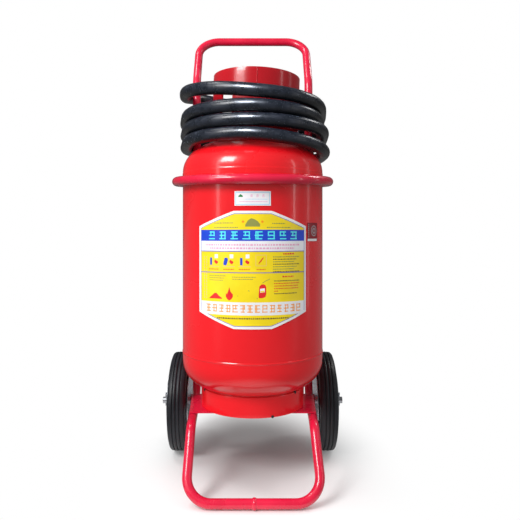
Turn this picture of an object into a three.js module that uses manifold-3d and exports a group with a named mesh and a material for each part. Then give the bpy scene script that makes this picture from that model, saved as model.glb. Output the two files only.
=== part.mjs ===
// Wheeled dry-powder fire extinguisher of the 35 kg class, in millimetres.
// +Z is up, -Y is the front, and the floor is z = 0.
// Everything is drawn about the vessel's axis; the whole group is shifted at the end,
// so that the part's origin is on the floor under the middle of its outline.
import * as THREE from "three";
import { mergeVertices } from "three/addons/utils/BufferGeometryUtils.js";
import Module from "manifold-3d";

const wasm = await Module();
wasm.setup();

// ---- driving dimensions ----
const GAP = 0.3;                 // clearance between pieces that touch
const FRONT_REACH = 214.7;       // floor bar's front, from the vessel's axis
const REAR_REACH = 237.5;        // wheels' back, from the vessel's axis

const VESSEL_R = 160;
const WALL = 4;
const SHELL_LOW = 262;           // lower seam
const SHELL_HIGH = 675;          // upper seam
const UPPER_RISE = 84;
const UPPER_POWER = 2.2;
const LOWER_DROP = 84;
const LOWER_POWER = 2.6;
const MOUTH_R = 33;              // hole for the neck ring
const POWDER_TOP = 640;

const NECK_R = 48;
const NECK_BORE = 30;
const NECK_TOP = 778;

const SKIRT_R = 118;
const SHEET = 3;
const SKIRT_LOW = 149.5;
const SKIRT_HIGH = 193;

const LABEL_LOW = 344;
const LABEL_HIGH = 584;
const LABEL_CUT = 30;            // height of the label's cut corners
const LABEL_TOP_X = 38.6;
const LABEL_SIDE_X = 111.5;

const GUARD_R = 99;
const GUARD_LOW = 746;
const GUARD_TILT = 2.2;          // degrees, lower on the right
const GUARD_SHIFT = 3.8;         // its foot stands to the right of the axis
const GUARD_HIGH = 895;

const TUBE_R = 10;
const RAIL_X = 139;
const RAIL_Y = 102;
const BEND_Z = 916;              // where the rails lean back into the handle
const HANDLE_Y = 187;
const HANDLE_Z = 1044.5;
const RAIL_JOINT_Z = 330;
const LEG_X = 129;
const LEG_Y = -120;
const RUN_Z = 135.6;             // tubes that run forward beside the skirt
const FOOT_Y = -203;
const FOOT_LEFT = 132;
const FOOT_RIGHT = 137;
const FOOT_Z = TUBE_R + 1.7;     // the butt bead lies on the floor
const BUTT_X = 3.4;              // butt joint in the floor bar

const HOOP_R = 174;
const HOOP_Z = 657;
const HOOP_SLOPE = 0.055;
const HOOP_END = 122.4;          // degrees from the front

const AXLE_Y = 118;
const AXLE_Z = 119.5;
const AXLE_R = 8;
const AXLE_END = 225;
const HOUSING_END = 155;
const HUB_IN = 156;
const HUB_OUT = 211;
const WHEEL_MID = 179;
const TYRE_R = 119.5;
const TYRE_HALF = 21.5;
const RIM_R = 78;

const HOSE_R = 14;
const COIL_FRONT_Y = 154;
const COIL_SIDE_X = 167;
const COIL_SIDE_Y = 95;
const COIL_CORNER_R = 112;
const HOSE_LEAD_R = 112;         // bend between the gun and the first turn
const HOSE_LAST = 0.78;          // share of the last turn that is laid
// Each turn is laid through these shares of its length: from the middle of the back, by the
// left, the front and the right, to the back again.
const HOSE_STATIONS = [0, 0.12, 0.27, 0.5, 0.7, 0.8, 1];
const HOSE_TURNS = [
  { heights: [880, 892, 862, 830.5, 820.5, 816.5, 812], left: 154, right: 156 },
  { heights: [812, 808, 801.5, 801, 793, 788.3, 783.8], left: 151, right: 150.5 },
  { heights: [783.8, 779.5, 773.3, 772, 766.5, 760, 755.6], left: 149.5, right: 162.6 },
  { heights: [755.6, 751, 745, 743.5, 722, 727, 727], left: 149.5, right: 165 },
];

const REST_TOP = [735, 711];      // hose rests, left and right

const OUTLET_Z = 797;
const PIVOT_Z = 862;             // lever's pivot
const CAM_R = 9.7;
const CAM_LIFT = 6;
const STEM_R = 4;
const GAUGE_X = 60;
const GAUGE_LOW = 806;

const GUN_X = 125;
const GUN_Y = 221;
const GUN_LOW = 560;
const GUN_HIGH = 660;
const CLIP_Z = 590;

const RED = 0xd0142a;
const TUBE_RED = 0xd01a3a;
const RUBBER = 0x17191c;
const ZINC = 0xb9bec4;
const BRASS = 0xb08d46;
const WHITE = 0xf2f2ee;
const YELLOW = 0xf2dc1e;

const part = new THREE.Group();
part.name = "wheeled_fire_extinguisher";
const rad = THREE.MathUtils.degToRad;

// ---- helpers ----
function outward(geometry) {
  // Turns every face round when the solid is inside out.
  const flat = geometry.index ? geometry.toNonIndexed() : geometry;
  const p = flat.getAttribute("position");
  const a = new THREE.Vector3();
  const b = new THREE.Vector3();
  const c = new THREE.Vector3();
  let volume = 0;
  for (let i = 0; i < p.count; i += 3) {
    a.fromBufferAttribute(p, i);
    b.fromBufferAttribute(p, i + 1);
    c.fromBufferAttribute(p, i + 2);
    volume += a.dot(b.cross(c));
  }
  const bare = new THREE.BufferGeometry();
  bare.setAttribute("position", p.clone());
  const merged = mergeVertices(bare, 1e-4);
  if (volume < 0) {
    const index = merged.index.array;
    for (let i = 0; i < index.length; i += 3) {
      [index[i + 1], index[i + 2]] = [index[i + 2], index[i + 1]];
    }
  }
  return merged;
}

function solid(geometry) {
  const g = outward(geometry);
  return new wasm.Manifold(new wasm.Mesh({
    numProp: 3,
    vertProperties: g.getAttribute("position").array,
    triVerts: new Uint32Array(g.index.array),
  }));
}

function unsolid(shape) {
  const mesh = shape.getMesh();
  const g = new THREE.BufferGeometry();
  g.setAttribute("position", new THREE.BufferAttribute(mesh.vertProperties, 3));
  g.setIndex(new THREE.BufferAttribute(mesh.triVerts, 1));
  return g;
}

function join(...geometries) {
  return unsolid(geometries.map(solid).reduce((a, b) => a.add(b)));
}

function cut(geometry, ...tools) {
  return unsolid(tools.map(solid).reduce((a, b) => a.subtract(b), solid(geometry)));
}

function add(name, geometry, colour) {
  const flat = outward(geometry).toNonIndexed();
  flat.computeVertexNormals();
  const material = new THREE.MeshStandardMaterial({ color: colour, roughness: 0.5 });
  const mesh = new THREE.Mesh(flat, material);
  mesh.name = name;
  part.add(mesh);
  return mesh;
}

function turned(profile, segments = 32) {
  const points = profile.map(([r, z]) => new THREE.Vector2(r, z));
  return new THREE.LatheGeometry(points, segments).rotateX(Math.PI / 2);
}

function ring(inner, outer, low, high, segments = 32) {
  return turned([[inner, low], [outer, low], [outer, high], [inner, high], [inner, low]], segments);
}

function rod(radius, low, high, segments = 16) {
  return turned([[0, low], [radius, low], [radius, high], [0, high]], segments);
}

function alongX(geometry) {
  return geometry.rotateY(Math.PI / 2);
}

function alongY(geometry) {
  return geometry.rotateX(-Math.PI / 2);
}

function box(x0, x1, y0, y1, z0, z1) {
  const g = new THREE.BoxGeometry(x1 - x0, y1 - y0, z1 - z0);
  return g.translate((x0 + x1) / 2, (y0 + y1) / 2, (z0 + z1) / 2);
}

function slab(outline, low, high, hole = null) {
  const shape = new THREE.Shape(outline.map(([x, y]) => new THREE.Vector2(x, y)));
  if (hole) {
    shape.holes.push(new THREE.Path(hole.map(([x, y]) => new THREE.Vector2(x, y))));
  }
  const g = new THREE.ExtrudeGeometry(shape, { depth: high - low, bevelEnabled: false });
  return g.translate(0, 0, low);
}

function around(radius, degrees, x = 0, y = 0) {
  // A point at an angle measured from the front, positive towards +X.
  return [x + radius * Math.sin(rad(degrees)), y - radius * Math.cos(rad(degrees))];
}

function sector(from, to, inner, outer, low, high, step = 10) {
  const outline = [];
  const steps = Math.max(2, Math.ceil(Math.abs(to - from) / step));
  for (let i = 0; i <= steps; i += 1) {
    outline.push(around(outer, from + ((to - from) * i) / steps));
  }
  for (let i = steps; i >= 0; i -= 1) {
    outline.push(around(inner, from + ((to - from) * i) / steps));
  }
  return slab(outline, low, high);
}

function hexagon(across) {
  return [...Array(6).keys()].map((i) => {
    const a = (i * Math.PI) / 3;
    return [(across / Math.sqrt(3)) * Math.cos(a), (across / Math.sqrt(3)) * Math.sin(a)];
  });
}

function bent(corners) {
  // A path through corners [x, y, z, bend radius], with each corner rounded.
  const path = [];
  corners.forEach(([x, y, z, radius], i) => {
    const here = new THREE.Vector3(x, y, z);
    if (!radius) {
      path.push(here);
      return;
    }
    const before = new THREE.Vector3(...corners[i - 1].slice(0, 3)).sub(here).normalize();
    const after = new THREE.Vector3(...corners[i + 1].slice(0, 3)).sub(here).normalize();
    const half = before.angleTo(after) / 2;
    const middle = before.clone().add(after).normalize();
    const centre = here.clone().addScaledVector(middle, radius / Math.sin(half));
    const start = here.clone().addScaledVector(before, radius / Math.tan(half)).sub(centre);
    const axis = before.clone().cross(after).normalize().negate();
    const sweepAngle = Math.PI - 2 * half;
    const steps = Math.max(2, Math.ceil(sweepAngle / 0.3));
    for (let k = 0; k <= steps; k += 1) {
      path.push(start.clone().applyAxisAngle(axis, (sweepAngle * k) / steps).add(centre));
    }
  });
  return path;
}

function pipe(path, radius, sides = 12) {
  // A round bar along a path, closed at both ends.
  const direction = (i) => {
    const d = new THREE.Vector3();
    if (i > 0) {
      d.add(path[i].clone().sub(path[i - 1]).normalize());
    }
    if (i < path.length - 1) {
      d.add(path[i + 1].clone().sub(path[i]).normalize());
    }
    return d.normalize();
  };
  const positions = [];
  const first = direction(0);
  let normal = new THREE.Vector3(1, 0, 0);
  if (Math.abs(first.x) > 0.8) {
    normal = new THREE.Vector3(0, 0, 1);
  }
  path.forEach((point, i) => {
    const along = direction(i);
    normal = normal.clone().addScaledVector(along, -normal.dot(along)).normalize();
    const across = along.clone().cross(normal);
    for (let k = 0; k < sides; k += 1) {
      const a = (2 * Math.PI * k) / sides;
      const v = point.clone().addScaledVector(normal, radius * Math.cos(a));
      v.addScaledVector(across, radius * Math.sin(a));
      positions.push(v.x, v.y, v.z);
    }
  });
  const index = [];
  for (let i = 0; i < path.length - 1; i += 1) {
    for (let k = 0; k < sides; k += 1) {
      const a = i * sides + k;
      const b = i * sides + ((k + 1) % sides);
      index.push(a, b, b + sides, a, b + sides, a + sides);
    }
  }
  const last = (path.length - 1) * sides;
  for (let k = 1; k < sides - 1; k += 1) {
    index.push(0, k + 1, k);
    index.push(last, last + k, last + k + 1);
  }
  const g = new THREE.BufferGeometry();
  g.setAttribute("position", new THREE.Float32BufferAttribute(positions, 3));
  g.setIndex(index);
  return g;
}

function domeHeight(r, radius, rise, power) {
  return rise * (1 - (r / radius) ** power) ** (1 / power);
}

function domeProfile(radius, rise, power, stop, steps) {
  // From the rim to the radius `stop`, as [radius, rise above the rim].
  const points = [];
  for (let i = 0; i <= steps; i += 1) {
    const t = (Math.PI / 2) * (1 - i / steps);
    const r = radius * Math.sin(t) ** (2 / power);
    if (r > stop + 2) {
      points.push([r, domeHeight(r, radius, rise, power)]);
    }
  }
  points.push([stop, domeHeight(stop, radius, rise, power)]);
  return points;
}

function skin(middle, half, low, high, ...corners) {
  // A thin sheet on the vessel; corners are outlines in the X-Z plane that are cut away.
  const sheet = sector(middle - half, middle + half, VESSEL_R + 0.5, VESSEL_R + 0.9, low, high, 4);
  const tools = corners.map((outline) => slab(outline, 0, 2 * VESSEL_R).rotateX(Math.PI / 2));
  return cut(sheet, ...tools);
}

// ---- pressure vessel ----
const inside = VESSEL_R - WALL;
const upperOut = domeProfile(VESSEL_R, UPPER_RISE, UPPER_POWER, MOUTH_R, 8);
const upperIn = domeProfile(inside, UPPER_RISE - WALL, UPPER_POWER, MOUTH_R, 4);
const upperBase = SHELL_HIGH + GAP;
const upperRing = [...upperOut, ...upperIn.reverse(), upperOut[0]];
add("upper_head", turned(upperRing.map(([r, h]) => [r, upperBase + h]), 40), RED);

add("vessel_shell", ring(inside, VESSEL_R, SHELL_LOW + GAP, SHELL_HIGH, 40), RED);

const lowerOut = domeProfile(VESSEL_R, LOWER_DROP, LOWER_POWER, 0, 7);
const lowerIn = domeProfile(inside, LOWER_DROP - WALL, LOWER_POWER, 0, 4);
const lowerRing = [...lowerOut.reverse(), ...lowerIn];
add("lower_head", turned(lowerRing.map(([r, h]) => [r, SHELL_LOW - h]), 40), RED);

const powder = lowerIn.filter(([r]) => r > 20).map(([r, h]) => [0.98 * r, SHELL_LOW - 0.98 * h]);
powder.push([20, powder[powder.length - 1][1]], [20, POWDER_TOP], [powder[0][0], POWDER_TOP]);
powder.push(powder[0]);
add("powder_charge", turned(powder, 24), WHITE);

add("siphon_tube", ring(12, 15, 205, 745.6, 14), ZINC);

add("neck_ring", turned([
  [NECK_BORE, 748],
  [MOUTH_R - 0.5, 748],
  [MOUTH_R - 0.5, 759.8],
  [NECK_R, 757.6],
  [NECK_R, NECK_TOP - 2],
  [NECK_R - 2, NECK_TOP],
  [NECK_BORE, NECK_TOP],
  [NECK_BORE, 748],
], 28), RED);

// The skirt has a drain hole near its lower edge and two vents under the lower head.
const skirtCuts = [[20.9, 154.6, 2.6], [-65, SKIRT_HIGH, 3.4], [52, SKIRT_HIGH, 3.4]].map(
  ([angle, z, radius]) => {
    const g = alongX(rod(radius, SKIRT_R - 12, SKIRT_R + 12, radius > 3 ? 4 : 12));
    return g.rotateZ(rad(angle - 90)).translate(0, 0, z);
  },
);
const skirtBand = ring(SKIRT_R - SHEET, SKIRT_R, SKIRT_LOW, SKIRT_HIGH, 40);
add("skirt_ring", cut(skirtBand, ...skirtCuts), RED);

// The guard has a narrow window at the front left and a wide one at the back for the hose.
// It stands a little askew, and its foot follows the upper head.
const guardFit = domeProfile(VESSEL_R, UPPER_RISE, UPPER_POWER, 0, 12);
const guardTool = turned([
  ...guardFit.map(([r, h]) => [r, upperBase + h + 1.2]),
  [0, SHELL_HIGH],
  [VESSEL_R, SHELL_HIGH],
  [VESSEL_R, upperBase + 1.2],
], 40);
const guardBand = cut(
  ring(GUARD_R - SHEET, GUARD_R, GUARD_LOW - 16, GUARD_HIGH, 40),
  sector(-48.1, -31.1, GUARD_R - 12, GUARD_R + 12, 790, 850),
  sector(130, 236, GUARD_R - 12, GUARD_R + 12, 772, 886),
);
guardBand.translate(0, 0, -GUARD_LOW).rotateY(rad(GUARD_TILT));
guardBand.translate(GUARD_SHIFT, 0, GUARD_LOW);
add("valve_guard", cut(guardBand, guardTool), RED);

// ---- labels ----
const corner = (x, z) => [
  [x * LABEL_TOP_X, z ? LABEL_HIGH : LABEL_LOW],
  [x * LABEL_SIDE_X, z ? LABEL_HIGH - LABEL_CUT : LABEL_LOW + LABEL_CUT],
  [x * 2 * LABEL_SIDE_X, z ? LABEL_HIGH - LABEL_CUT : LABEL_LOW + LABEL_CUT],
  [x * 2 * LABEL_SIDE_X, z ? LABEL_HIGH + 9 : LABEL_LOW - 9],
  [x * LABEL_TOP_X, z ? LABEL_HIGH + 9 : LABEL_LOW - 9],
];
add("main_label", skin(
  0, 44, LABEL_LOW, LABEL_HIGH,
  corner(-1, false), corner(1, false), corner(-1, true), corner(1, true),
), YELLOW);
add("approval_label", skin(0, 13.2, 594.5, 624), WHITE);
add("inspection_sticker", skin(53.2, 7.2, 522, 561), RED);

// ---- valve ----
add("neck_gasket", ring(NECK_BORE, 40, NECK_TOP + GAP, NECK_TOP + 2, 24), RUBBER);

const bodyLow = NECK_TOP + 2 + GAP;
const valveCore = join(
  rod(28, 746, bodyLow + 4, 20),
  slab(hexagon(78), bodyLow, bodyLow + 9),
  rod(22, bodyLow + 4, 838, 20),
  alongY(rod(13, 0, 46, 20)).translate(0, 0, OUTLET_Z),
  alongX(rod(6, 0, GAUGE_X - 20.4, 16)).translate(0, 0, OUTLET_Z + 16),
);
add("valve_body", cut(
  valveCore,
  rod(10, 744, 812, 20),
  rod(STEM_R + GAP, 811, 840, 16),
  alongY(rod(8, 5, 50, 16)).translate(0, 0, OUTLET_Z),
), BRASS);

// The bonnet carries two cheeks that hold the lever's pivot.
const cheek = (x0, x1) => join(
  box(x0, x1, -9, 9, 844, PIVOT_Z),
  alongX(rod(9, x0, x1, 20)).translate(0, 0, PIVOT_Z),
  box(x0, x1, -20, 0, 848, 858),
);
const pivotHole = alongX(rod(3 + GAP, -20, 20, 14)).translate(0, 0, PIVOT_Z);
add("bonnet", cut(
  join(
    slab(hexagon(34), 838 + GAP, 845),
    cheek(-11, -7),
    cheek(7, 11),
  ),
  rod(STEM_R + GAP, 830, 850, 16),
  pivotHole,
), BRASS);

const stemTop = PIVOT_Z - CAM_R - 1.2;
const stem = turned([
  [0, 770],
  [8, 770],
  [8, 774],
  [STEM_R, 778],
  [STEM_R, stemTop],
  [0, stemTop],
], 16);
add("valve_stem", stem, ZINC);

// A coil spring under the stem's head pushes the valve shut.
const springPath = [];
for (let i = 0; i <= 36; i += 1) {
  const a = (i / 36) * 3.5 * 2 * Math.PI;
  springPath.push(new THREE.Vector3(6 * Math.cos(a), 6 * Math.sin(a), 751 + (i / 36) * 17.5));
}
add("stem_spring", pipe(springPath, 1, 5), ZINC);
add("spring_seat", ring(4, 9.7, 746.5, 749.7, 20), BRASS);

// The lever is a cam whose radius grows by the stem's travel over a quarter turn.
const cam = [];
for (let i = 0; i <= 12; i += 1) {
  const share = i / 12;
  const angle = -90 + 90 * share;
  const r = CAM_R + CAM_LIFT * share;
  cam.push([r * Math.cos(rad(angle)), r * Math.sin(rad(angle))]);
}
cam.push([10, 8], [4, 10], [-12, 7], [-70, 7], [-76, 4], [-78, 0], [-76, -4], [-70, -5], [-14, -4]);
const leverFlat = slab(cam, -6, 6);
const lever = leverFlat.rotateX(Math.PI / 2).rotateZ(Math.PI / 2).translate(0, 0, PIVOT_Z);
const pinHole = alongX(rod(2 + GAP, -20, 20, 12)).translate(0, -16, PIVOT_Z + 1.5);
add("valve_lever", cut(lever, pivotHole.clone(), pinHole), ZINC);

const pivotPin = join(
  alongX(rod(3, -14, 14, 14)),
  alongX(rod(5, 11 + GAP, 14, 14)),
  alongX(rod(5, -14, -11 - GAP, 14)),
).translate(0, 0, PIVOT_Z);
add("lever_pin", pivotPin, ZINC);

const pullRing = new THREE.TorusGeometry(12, 1.6, 6, 18).translate(31, -16, PIVOT_Z + 1.5);
const pullRod = alongX(rod(2, -15, 20, 12)).translate(0, -16, PIVOT_Z + 1.5);
add("safety_pin", join(pullRing, pullRod), ZINC);

// ---- pressure gauge, facing up ----
add("gauge_case", turned([
  [0, GAUGE_LOW],
  [18, GAUGE_LOW],
  [20, GAUGE_LOW + 2],
  [20, GAUGE_LOW + 15],
  [18, GAUGE_LOW + 15],
  [18, GAUGE_LOW + 3],
  [0, GAUGE_LOW + 3],
], 24).translate(GAUGE_X, 0, 0), ZINC);
add("gauge_dial", ring(1.2, 17.6, GAUGE_LOW + 9, GAUGE_LOW + 10, 20).translate(GAUGE_X, 0, 0), WHITE);
const needle = join(
  rod(2.2, GAUGE_LOW + 10.4, GAUGE_LOW + 12, 12),
  rod(0.8, GAUGE_LOW + 4, GAUGE_LOW + 11, 8),
  box(-0.7, 0.7, 0, 14, GAUGE_LOW + 10.6, GAUGE_LOW + 11.6),
);
add("gauge_needle", needle.translate(GAUGE_X, 0, 0), RUBBER);
add("gauge_lens", rod(17.6, GAUGE_LOW + 12.6, GAUGE_LOW + 14.4, 20).translate(GAUGE_X, 0, 0), WHITE);

// ---- outlet and hose ----
const nutBlank = slab(hexagon(34), 46 + GAP, 64);
add("union_nut", alongY(cut(nutBlank, rod(8, 40, 70, 16))).translate(0, 0, OUTLET_Z), BRASS);
add("valve_ferrule", alongY(ring(6, 15.5, 64 + GAP, 106, 20)).translate(0, 0, OUTLET_Z), ZINC);

const cornerX = COIL_SIDE_X - COIL_CORNER_R;
const cornerArc = (Math.PI / 2) * COIL_CORNER_R;
const frontArc = Math.PI * COIL_FRONT_Y;
const turnLength = 2 * (cornerX + cornerArc + COIL_SIDE_Y) + frontArc;

function turnPlan(s, left, right) {
  // The point at a distance s along one turn: straight across the back, round the corners and
  // along the sides, and a half ellipse round the front.
  const spans = [
    [cornerX, (u) => [-u * cornerX, COIL_SIDE_Y + COIL_CORNER_R]],
    [cornerArc, (u) => around(COIL_CORNER_R, 180 + 90 * u, -cornerX, COIL_SIDE_Y)],
    [COIL_SIDE_Y, (u) => [-COIL_SIDE_X + u * (COIL_SIDE_X - left), COIL_SIDE_Y * (1 - u)]],
    [frontArc, (u) => {
      const a = rad(-90 + 180 * u);
      const half = a < 0 ? left : right;
      return [half * Math.sin(a), -COIL_FRONT_Y * Math.cos(a)];
    }],
    [COIL_SIDE_Y, (u) => [right + u * (COIL_SIDE_X - right), COIL_SIDE_Y * u]],
    [cornerArc, (u) => around(COIL_CORNER_R, 90 + 90 * u, cornerX, COIL_SIDE_Y)],
    [cornerX, (u) => [cornerX * (1 - u), COIL_SIDE_Y + COIL_CORNER_R]],
  ];
  let rest = s;
  for (const [length, place] of spans) {
    if (rest <= length) {
      return place(rest / length);
    }
    rest -= length;
  }
  return [0, COIL_SIDE_Y + COIL_CORNER_R];
}

function turnHeight(u, heights) {
  const i = Math.max(1, HOSE_STATIONS.findIndex((station) => u <= station));
  const share = (u - HOSE_STATIONS[i - 1]) / (HOSE_STATIONS[i] - HOSE_STATIONS[i - 1]);
  return heights[i - 1] + (heights[i] - heights[i - 1]) * share;
}

const ease = (u) => u * u * (3 - 2 * u);

function hosePath(turnSteps) {
  // Up from the gun, over to the back, round the turns, and in to the valve from behind.
  const leadTop = HOSE_TURNS[0].heights[0] - HOSE_LEAD_R;
  const path = [];
  for (let i = 0; i <= 3; i += 1) {
    const z = 690 + GAP + ((leadTop - 690 - GAP) * i) / 3;
    path.push(new THREE.Vector3(GUN_X, GUN_Y, z));
  }
  for (let i = 1; i <= 6; i += 1) {
    const a = rad(15 * i);
    const x = GUN_X - HOSE_LEAD_R * (1 - Math.cos(a));
    path.push(new THREE.Vector3(x, GUN_Y, leadTop + HOSE_LEAD_R * Math.sin(a)));
  }
  HOSE_TURNS.forEach(({ heights, left, right }, turn) => {
    for (let i = 0; i < turnSteps; i += 1) {
      const u = i / turnSteps;
      const skipped = (turn === 0 && u < 0.02) || (turn === 3 && u > HOSE_LAST);
      if (!skipped) {
        const [x, y] = turnPlan(u * turnLength, left, right);
        const start = turn === 0 ? 1 - ease(Math.min(1, u / 0.14)) : 0;
        const back = (GUN_Y - COIL_SIDE_Y - COIL_CORNER_R) * start;
        path.push(new THREE.Vector3(x, y + back, turnHeight(u, heights)));
      }
    }
  });
  const from = new THREE.Vector3(COIL_SIDE_X, COIL_SIDE_Y + 5, 727);
  const heading = new THREE.Vector3(0, 1, 0);
  path.push(from);
  const end = new THREE.Vector3(0, 116, OUTLET_Z);
  const reach = 310;
  for (let i = 1; i <= 14; i += 1) {
    const u = i / 14;
    const p = from.clone().multiplyScalar(2 * u ** 3 - 3 * u ** 2 + 1);
    p.addScaledVector(heading, reach * (u ** 3 - 2 * u ** 2 + u));
    p.addScaledVector(end, 3 * u ** 2 - 2 * u ** 3);
    p.y -= reach * (u ** 3 - u ** 2);
    p.z = from.z + (OUTLET_Z - from.z) * ease(Math.max(0, 2 * u - 1));
    path.push(p);
  }
  path.push(new THREE.Vector3(0, 106 + GAP, OUTLET_Z));
  return path;
}
add("hose", pipe(hosePath(36), HOSE_R, 8), RUBBER);

// ---- discharge gun ----
const at = (geometry) => geometry.translate(GUN_X, GUN_Y, 0);
add("gun_ferrule", at(ring(6, 15.5, GUN_HIGH + GAP, 690, 20)), ZINC);
const ear = (y0, y1) => box(-30, -8, y0, y1, 626, 650);
const triggerHole = alongY(rod(2 + GAP, -14, 14, 12)).translate(-24, 0, 640);
add("gun_body", at(cut(
  join(rod(15, GUN_LOW, GUN_HIGH, 20), ear(-8, -5), ear(5, 8)),
  rod(6, GUN_LOW - 2, GUN_HIGH + 2, 16),
  triggerHole,
)), RUBBER);
add("gun_nozzle", at(turned([
  [6, 440],
  [9, 440],
  [11, 450],
  [12, 540],
  [14, 548],
  [14, GUN_LOW - GAP],
  [6, GUN_LOW - GAP],
  [6, 440],
], 16)), RUBBER);
const triggerFlat = [[-28, 646], [-20, 646], [-20, 630], [-30, 590], [-44, 556], [-49, 558], [-35, 596], [-28, 630]];
const triggerBlank = slab(triggerFlat, -4, 4).rotateX(Math.PI / 2);
add("gun_trigger", at(cut(triggerBlank, triggerHole.clone())), ZINC);
add("trigger_pin", at(alongY(rod(2, -10, 10, 12)).translate(-24, 0, 640)), ZINC);

// The clip is one strip: a band round the right rail, an arm, and an open ring round the gun.
const dx = RAIL_X - GUN_X;
const dy = RAIL_Y - GUN_Y;
const reach = Math.hypot(dx, dy);
const armAngle = Math.atan2(-dy, -dx);
const arm = box(11, reach - 16.4, -1.5, 1.5, CLIP_Z, CLIP_Z + 24);
arm.rotateZ(armAngle).translate(RAIL_X, RAIL_Y, 0);
const band = ring(TUBE_R + 0.4, TUBE_R + 1.9, CLIP_Z, CLIP_Z + 24, 16).translate(RAIL_X, RAIL_Y, 0);
const openRing = cut(
  ring(15.4, 18, CLIP_Z, CLIP_Z + 24, 20),
  slab([[-14, 24], [0, 0.5], [14, 24]], CLIP_Z - 1, CLIP_Z + 25),
);
add("gun_clip", join(band, arm, at(openRing)), ZINC);

// ---- tube frame ----
const handlePath = bent([
  [-RAIL_X, RAIL_Y, RAIL_JOINT_Z + GAP, 0],
  [-RAIL_X, RAIL_Y, BEND_Z, 70],
  [-RAIL_X, HANDLE_Y, HANDLE_Z, 52],
  [RAIL_X, HANDLE_Y, HANDLE_Z, 52],
  [RAIL_X, RAIL_Y, BEND_Z, 70],
  [RAIL_X, RAIL_Y, RAIL_JOINT_Z + GAP, 0],
]);
add("handle_tube", pipe(handlePath, TUBE_R, 10), TUBE_RED);

const legPath = bent([
  [-RAIL_X, RAIL_Y, RAIL_JOINT_Z, 0],
  [-RAIL_X, RAIL_Y, RUN_Z, 45],
  [-LEG_X, LEG_Y, RUN_Z, 32],
  [-FOOT_LEFT, FOOT_Y, FOOT_Z, 50],
  [FOOT_RIGHT, FOOT_Y, FOOT_Z, 50],
  [LEG_X, LEG_Y, RUN_Z, 32],
  [RAIL_X, RAIL_Y, RUN_Z, 45],
  [RAIL_X, RAIL_Y, RAIL_JOINT_Z, 0],
]);
add("leg_tube", pipe(legPath, TUBE_R, 10), TUBE_RED);
for (const [i, side] of ["left", "right"].entries()) {
  const sign = 2 * i - 1;
  const sleeve = ring(TUBE_R + 0.4, TUBE_R + 1.9, RAIL_JOINT_Z - 18, RAIL_JOINT_Z + 18, 16);
  add(`rail_sleeve_${side}`, sleeve.translate(sign * RAIL_X, RAIL_Y, 0), TUBE_RED);
  // A flat bar runs back from each rail and carries the hose.
  add(`hose_rest_${side}`, slab([
    [sign * 147, RAIL_Y + TUBE_R + GAP],
    [sign * 131, RAIL_Y + TUBE_R + GAP],
    [sign * 92, 206],
    [sign * 110, 206],
  ], REST_TOP[i] - 3, REST_TOP[i]), TUBE_RED);
  // The plates lie on the tubes and carry the skirt.
  const top = SKIRT_LOW - GAP;
  add(`base_plate_${side}`, slab([
    [sign * 84, -72],
    [sign * 138, -72],
    [sign * 146, 60],
    [sign * 84, 60],
  ], top - 3.2, top), TUBE_RED);
}

const bead = turned([
  [TUBE_R + 0.3, -4],
  [TUBE_R + 1, -4],
  [TUBE_R + 1.7, 0],
  [TUBE_R + 1, 4],
  [TUBE_R + 0.3, 4],
  [TUBE_R + 0.3, -4],
], 20);
add("butt_bead", alongX(bead).translate(BUTT_X, FOOT_Y, FOOT_Z), TUBE_RED);

const hoopPath = [];
for (let i = 0; i <= 26; i += 1) {
  const [x, y] = around(HOOP_R, HOOP_END * ((2 * i) / 26 - 1));
  hoopPath.push(new THREE.Vector3(x, y, HOOP_Z + y * HOOP_SLOPE));
}
add("shoulder_hoop", pipe(hoopPath, TUBE_R + 0.2, 10), TUBE_RED);

// ---- running gear ----
const onAxle = (geometry) => alongX(geometry).translate(0, AXLE_Y, AXLE_Z);
add("axle_housing", onAxle(ring(AXLE_R + 0.4, 15, -HOUSING_END, HOUSING_END, 20)), TUBE_RED);
for (const [side, sign] of [["left", -1], ["right", 1]]) {
  const blank = slab([
    [78, 132],
    [106, 100],
    [137, 104],
    [137, 130],
    [116, 168],
    [100, 172],
  ], -2.5, 2.5).rotateX(Math.PI / 2).rotateZ(Math.PI / 2).translate(sign * RAIL_X, 0, 0);
  const housingCut = onAxle(rod(15 + GAP, -HOUSING_END, HOUSING_END, 20));
  add(`axle_bracket_${side}`, cut(blank, pipe(legPath, TUBE_R + 0.4, 16), housingCut), TUBE_RED);
}
const pinBore = (x) => rod(2, AXLE_Z - 20, AXLE_Z + 20, 10).translate(x, AXLE_Y, 0);
const axle = onAxle(rod(AXLE_R, -AXLE_END, AXLE_END, 20));
add("axle", cut(axle, pinBore(-218), pinBore(218)), ZINC);

function tyreProfile() {
  // Half round shoulders and three grooves round the tread, about the wheel's middle.
  const crown = [];
  const groove = (x) => [[TYRE_R, x - 1.8], [TYRE_R - 3, x], [TYRE_R, x + 1.8]];
  crown.push([RIM_R + 1, -TYRE_HALF + 3], [RIM_R + 12, -TYRE_HALF], [TYRE_R - 14, -TYRE_HALF]);
  crown.push([TYRE_R - 3, -TYRE_HALF + 3]);
  for (const x of [-8, 0, 8]) {
    crown.push(...groove(x));
  }
  crown.push([TYRE_R - 3, TYRE_HALF - 3], [TYRE_R - 14, TYRE_HALF], [RIM_R + 12, TYRE_HALF]);
  crown.push([RIM_R + 1, TYRE_HALF - 3], crown[0]);
  return crown;
}

function discProfile(sign) {
  // A pressed disc from the hub to the lip over the tyre's side, about the wheel's middle.
  const face = [[13.4, 8], [34, 8], [42, 3], [58, 3], [78, 18.9], [88, 22.4]];
  const outer = face.map(([r, x]) => [r, sign * (x + 2)]);
  const inner = face.map(([r, x]) => [r, sign * x]);
  return [...outer, ...inner.reverse(), outer[0]];
}

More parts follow.
